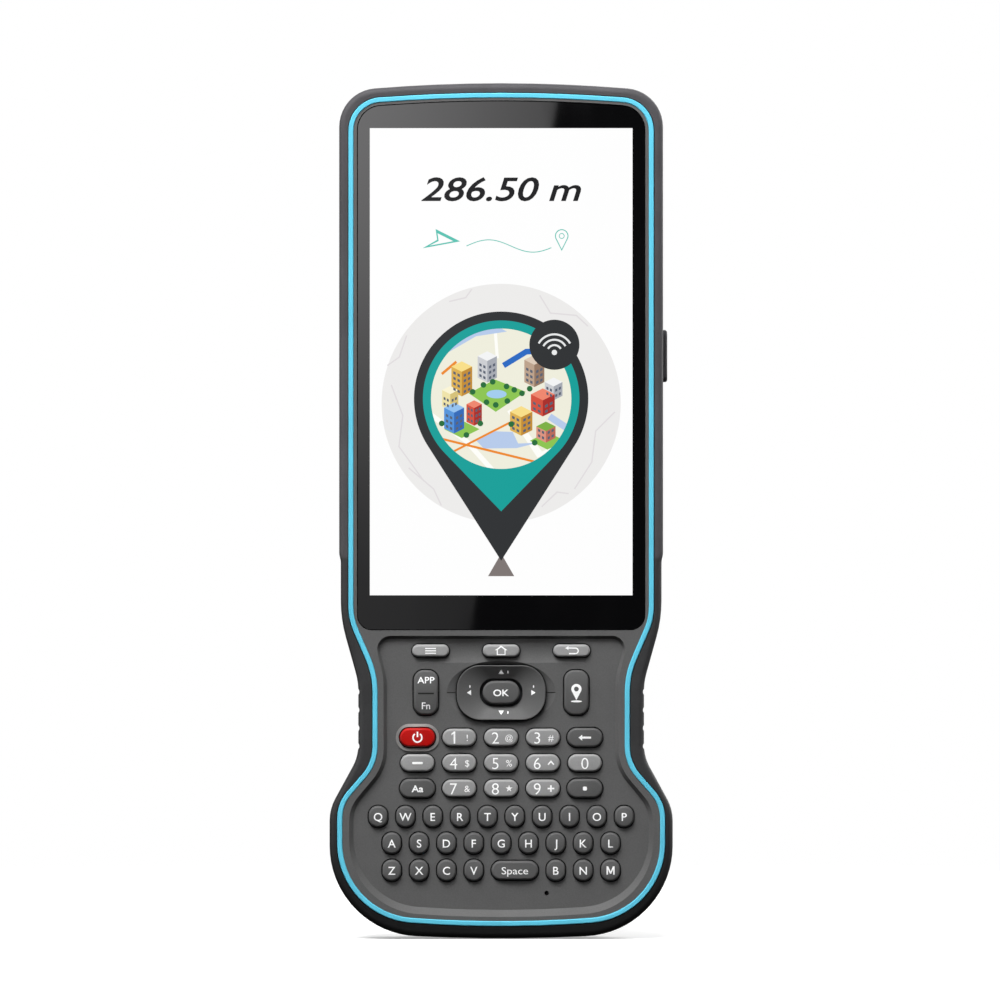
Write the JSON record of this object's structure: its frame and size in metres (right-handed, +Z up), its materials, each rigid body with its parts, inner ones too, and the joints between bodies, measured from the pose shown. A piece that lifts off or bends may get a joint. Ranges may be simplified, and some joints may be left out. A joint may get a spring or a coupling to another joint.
{
  "type": "data collector",
  "caption": "Rugged handheld survey data collector with a tall touch display, number block, letter keyboard and a rubber-edged waisted casing.",
  "frame": {"origin": "middle of the box around the object, at its lower end", "axes": "+Z up the device's length towards the display's top, +X to the right as the display is read, -Y out of the display"},
  "size_m": [0.089, 0.024, 0.2218],
  "materials": {
    "housing_grey": "fine spark-eroded grain",
    "bumper_black": "soft-touch rubber over hard casing",
    "trim_cyan": "satin coloured plastic",
    "screen_glass": "black-bordered cover glass",
    "window_glass": "tinted camera window",
    "mat_silicone": "translucent grey silicone",
    "board_green": "solder mask",
    "battery_wrap": "heat-shrunk wrap",
    "screw_steel": "black-passivated socket screws",
    "key_grey": "satin light-grey keycap",
    "key_dark": "satin dark-grey keycap",
    "legend_white": "printed white legend",
    "display_light": "lit display under glass",
    "key_red": "satin red keycap"
  },
  "bodies": {
    "casing": {"front_housing": "housing_grey", "rear_housing": "bumper_black", "trim_ring": "trim_cyan", "display_module": "screen_glass", "keypad_mat": "mat_silicone", "main_board": "board_green", "battery_pack": "battery_wrap", "housing_screws": "screw_steel", "rear_windows": "window_glass"},
    "back": {"back_key": "key_grey"},
    "backspace": {"backspace_key": "key_dark"},
    "digit_0": {"digit_0_key": "key_grey"},
    "digit_1": {"digit_1_key": "key_grey"},
    "digit_2": {"digit_2_key": "key_grey"},
    "digit_3": {"digit_3_key": "key_grey"},
    "digit_4": {"digit_4_key": "key_grey"},
    "digit_5": {"digit_5_key": "key_grey"},
    "digit_6": {"digit_6_key": "key_grey"},
    "digit_7": {"digit_7_key": "key_grey"},
    "digit_8": {"digit_8_key": "key_grey"},
    "digit_9": {"digit_9_key": "key_grey"},
    "dot": {"dot_key": "key_dark"},
    "home": {"home_key": "key_grey"},
    "letter_a": {"letter_a_key": "key_dark"},
    "letter_b": {"letter_b_key": "key_dark"},
    "letter_c": {"letter_c_key": "key_dark"},
    "letter_d": {"letter_d_key": "key_dark"},
    "letter_e": {"letter_e_key": "key_dark"},
    "letter_f": {"letter_f_key": "key_dark"},
    "letter_g": {"letter_g_key": "key_dark"},
    "letter_h": {"letter_h_key": "key_dark"},
    "letter_i": {"letter_i_key": "key_dark"},
    "letter_j": {"letter_j_key": "key_dark"},
    "letter_k": {"letter_k_key": "key_dark"},
    "letter_l": {"letter_l_key": "key_dark"},
    "letter_m": {"letter_m_key": "key_dark"},
    "letter_n": {"letter_n_key": "key_dark"},
    "letter_o": {"letter_o_key": "key_dark"},
    "letter_p": {"letter_p_key": "key_dark"},
    "letter_q": {"letter_q_key": "key_dark"},
    "letter_r": {"letter_r_key": "key_dark"},
    "letter_s": {"letter_s_key": "key_dark"},
    "letter_t": {"letter_t_key": "key_dark"},
    "letter_u": {"letter_u_key": "key_dark"},
    "letter_v": {"letter_v_key": "key_dark"},
    "letter_w": {"letter_w_key": "key_dark"},
    "letter_x": {"letter_x_key": "key_dark"},
    "letter_y": {"letter_y_key": "key_dark"},
    "letter_z": {"letter_z_key": "key_dark"},
    "locate": {"locate_key": "key_dark"},
    "menu": {"menu_key": "key_grey"},
    "minus": {"minus_key": "key_grey"},
    "ok": {"ok_key": "key_dark"},
    "power": {"power_key": "key_red"},
    "shift": {"shift_key": "key_dark"},
    "side": {"side_key": "bumper_black"},
    "space": {"space_key": "key_dark"},
    "app_fn": {"app_fn_key": "key_dark"},
    "nav_frame": {"nav_actuator": "mat_silicone"},
    "nav_pad": {"nav_ring": "key_dark"}
  },
  "joints": [
    {"name": "back_press", "type": "slide", "parent": "casing", "child": "back", "axis": [0, 1, 0], "range_m": [0, 0.0006], "stiffness_N_per_m": 20},
    {"name": "backspace_press", "type": "slide", "parent": "casing", "child": "backspace", "axis": [0, 1, 0], "range_m": [0, 0.0006], "stiffness_N_per_m": 20},
    {"name": "digit_0_press", "type": "slide", "parent": "casing", "child": "digit_0", "axis": [0, 1, 0], "range_m": [0, 0.0006], "stiffness_N_per_m": 20},
    {"name": "digit_1_press", "type": "slide", "parent": "casing", "child": "digit_1", "axis": [0, 1, 0], "range_m": [0, 0.0006], "stiffness_N_per_m": 20},
    {"name": "digit_2_press", "type": "slide", "parent": "casing", "child": "digit_2", "axis": [0, 1, 0], "range_m": [0, 0.0006], "stiffness_N_per_m": 20},
    {"name": "digit_3_press", "type": "slide", "parent": "casing", "child": "digit_3", "axis": [0, 1, 0], "range_m": [0, 0.0006], "stiffness_N_per_m": 20},
    {"name": "digit_4_press", "type": "slide", "parent": "casing", "child": "digit_4", "axis": [0, 1, 0], "range_m": [0, 0.0006], "stiffness_N_per_m": 20},
    {"name": "digit_5_press", "type": "slide", "parent": "casing", "child": "digit_5", "axis": [0, 1, 0], "range_m": [0, 0.0006], "stiffness_N_per_m": 20},
    {"name": "digit_6_press", "type": "slide", "parent": "casing", "child": "digit_6", "axis": [0, 1, 0], "range_m": [0, 0.0006], "stiffness_N_per_m": 20},
    {"name": "digit_7_press", "type": "slide", "parent": "casing", "child": "digit_7", "axis": [0, 1, 0], "range_m": [0, 0.0006], "stiffness_N_per_m": 20},
    {"name": "digit_8_press", "type": "slide", "parent": "casing", "child": "digit_8", "axis": [0, 1, 0], "range_m": [0, 0.0006], "stiffness_N_per_m": 20},
    {"name": "digit_9_press", "type": "slide", "parent": "casing", "child": "digit_9", "axis": [0, 1, 0], "range_m": [0, 0.0006], "stiffness_N_per_m": 20},
    {"name": "dot_press", "type": "slide", "parent": "casing", "child": "dot", "axis": [0, 1, 0], "range_m": [0, 0.0006], "stiffness_N_per_m": 20},
    {"name": "home_press", "type": "slide", "parent": "casing", "child": "home", "axis": [0, 1, 0], "range_m": [0, 0.0006], "stiffness_N_per_m": 20},
    {"name": "letter_a_press", "type": "slide", "parent": "casing", "child": "letter_a", "axis": [0, 1, 0], "range_m": [0, 0.0006], "stiffness_N_per_m": 20},
    {"name": "letter_b_press", "type": "slide", "parent": "casing", "child": "letter_b", "axis": [0, 1, 0], "range_m": [0, 0.0006], "stiffness_N_per_m": 20},
    {"name": "letter_c_press", "type": "slide", "parent": "casing", "child": "letter_c", "axis": [0, 1, 0], "range_m": [0, 0.0006], "stiffness_N_per_m": 20},
    {"name": "letter_d_press", "type": "slide", "parent": "casing", "child": "letter_d", "axis": [0, 1, 0], "range_m": [0, 0.0006], "stiffness_N_per_m": 20},
    {"name": "letter_e_press", "type": "slide", "parent": "casing", "child": "letter_e", "axis": [0, 1, 0], "range_m": [0, 0.0006], "stiffness_N_per_m": 20},
    {"name": "letter_f_press", "type": "slide", "parent": "casing", "child": "letter_f", "axis": [0, 1, 0], "range_m": [0, 0.0006], "stiffness_N_per_m": 20},
    {"name": "letter_g_press", "type": "slide", "parent": "casing", "child": "letter_g", "axis": [0, 1, 0], "range_m": [0, 0.0006], "stiffness_N_per_m": 20},
    {"name": "letter_h_press", "type": "slide", "parent": "casing", "child": "letter_h", "axis": [0, 1, 0], "range_m": [0, 0.0006], "stiffness_N_per_m": 20},
    {"name": "letter_i_press", "type": "slide", "parent": "casing", "child": "letter_i", "axis": [0, 1, 0], "range_m": [0, 0.0006], "stiffness_N_per_m": 20},
    {"name": "letter_j_press", "type": "slide", "parent": "casing", "child": "letter_j", "axis": [0, 1, 0], "range_m": [0, 0.0006], "stiffness_N_per_m": 20},
    {"name": "letter_k_press", "type": "slide", "parent": "casing", "child": "letter_k", "axis": [0, 1, 0], "range_m": [0, 0.0006], "stiffness_N_per_m": 20},
    {"name": "letter_l_press", "type": "slide", "parent": "casing", "child": "letter_l", "axis": [0, 1, 0], "range_m": [0, 0.0006], "stiffness_N_per_m": 20},
    {"name": "letter_m_press", "type": "slide", "parent": "casing", "child": "letter_m", "axis": [0, 1, 0], "range_m": [0, 0.0006], "stiffness_N_per_m": 20},
    {"name": "letter_n_press", "type": "slide", "parent": "casing", "child": "letter_n", "axis": [0, 1, 0], "range_m": [0, 0.0006], "stiffness_N_per_m": 20},
    {"name": "letter_o_press", "type": "slide", "parent": "casing", "child": "letter_o", "axis": [0, 1, 0], "range_m": [0, 0.0006], "stiffness_N_per_m": 20},
    {"name": "letter_p_press", "type": "slide", "parent": "casing", "child": "letter_p", "axis": [0, 1, 0], "range_m": [0, 0.0006], "stiffness_N_per_m": 20},
    {"name": "letter_q_press", "type": "slide", "parent": "casing", "child": "letter_q", "axis": [0, 1, 0], "range_m": [0, 0.0006], "stiffness_N_per_m": 20},
    {"name": "letter_r_press", "type": "slide", "parent": "casing", "child": "letter_r", "axis": [0, 1, 0], "range_m": [0, 0.0006], "stiffness_N_per_m": 20},
    {"name": "letter_s_press", "type": "slide", "parent": "casing", "child": "letter_s", "axis": [0, 1, 0], "range_m": [0, 0.0006], "stiffness_N_per_m": 20},
    {"name": "letter_t_press", "type": "slide", "parent": "casing", "child": "letter_t", "axis": [0, 1, 0], "range_m": [0, 0.0006], "stiffness_N_per_m": 20},
    {"name": "letter_u_press", "type": "slide", "parent": "casing", "child": "letter_u", "axis": [0, 1, 0], "range_m": [0, 0.0006], "stiffness_N_per_m": 20},
    {"name": "letter_v_press", "type": "slide", "parent": "casing", "child": "letter_v", "axis": [0, 1, 0], "range_m": [0, 0.0006], "stiffness_N_per_m": 20},
    {"name": "letter_w_press", "type": "slide", "parent": "casing", "child": "letter_w", "axis": [0, 1, 0], "range_m": [0, 0.0006], "stiffness_N_per_m": 20},
    {"name": "letter_x_press", "type": "slide", "parent": "casing", "child": "letter_x", "axis": [0, 1, 0], "range_m": [0, 0.0006], "stiffness_N_per_m": 20},
    {"name": "letter_y_press", "type": "slide", "parent": "casing", "child": "letter_y", "axis": [0, 1, 0], "range_m": [0, 0.0006], "stiffness_N_per_m": 20},
    {"name": "letter_z_press", "type": "slide", "parent": "casing", "child": "letter_z", "axis": [0, 1, 0], "range_m": [0, 0.0006], "stiffness_N_per_m": 20},
    {"name": "locate_press", "type": "slide", "parent": "casing", "child": "locate", "axis": [0, 1, 0], "range_m": [0, 0.0006], "stiffness_N_per_m": 20},
    {"name": "menu_press", "type": "slide", "parent": "casing", "child": "menu", "axis": [0, 1, 0], "range_m": [0, 0.0006], "stiffness_N_per_m": 20},
    {"name": "minus_press", "type": "slide", "parent": "casing", "child": "minus", "axis": [0, 1, 0], "range_m": [0, 0.0006], "stiffness_N_per_m": 20},
    {"name": "ok_press", "type": "slide", "parent": "casing", "child": "ok", "axis": [0, 1, 0], "range_m": [0, 0.0006], "stiffness_N_per_m": 20},
    {"name": "power_press", "type": "slide", "parent": "casing", "child": "power", "axis": [0, 1, 0], "range_m": [0, 0.0006], "stiffness_N_per_m": 20},
    {"name": "shift_press", "type": "slide", "parent": "casing", "child": "shift", "axis": [0, 1, 0], "range_m": [0, 0.0006], "stiffness_N_per_m": 20},
    {"name": "side_press", "type": "slide", "parent": "casing", "child": "side", "axis": [-1, 0, 0], "range_m": [0, 0.0006], "stiffness_N_per_m": 20},
    {"name": "space_press", "type": "slide", "parent": "casing", "child": "space", "axis": [0, 1, 0], "range_m": [0, 0.0006], "stiffness_N_per_m": 20},
    {"name": "app_fn_rock", "type": "hinge", "parent": "casing", "child": "app_fn", "pos_m": [-0.0195, -0.00845, 0.06375], "axis": [1, 0, 0], "range_deg": [-3, 3]},
    {"name": "nav_tilt_up_down", "type": "hinge", "parent": "casing", "child": "nav_frame", "pos_m": [0, -0.00845, 0.06375], "axis": [1, 0, 0], "range_deg": [-2.5, 2.5]},
    {"name": "nav_tilt_left_right", "type": "hinge", "parent": "nav_frame", "child": "nav_pad", "pos_m": [0, -0.00845, 0.06375], "axis": [0, 0, 1], "range_deg": [-2.5, 2.5]}
  ]
}
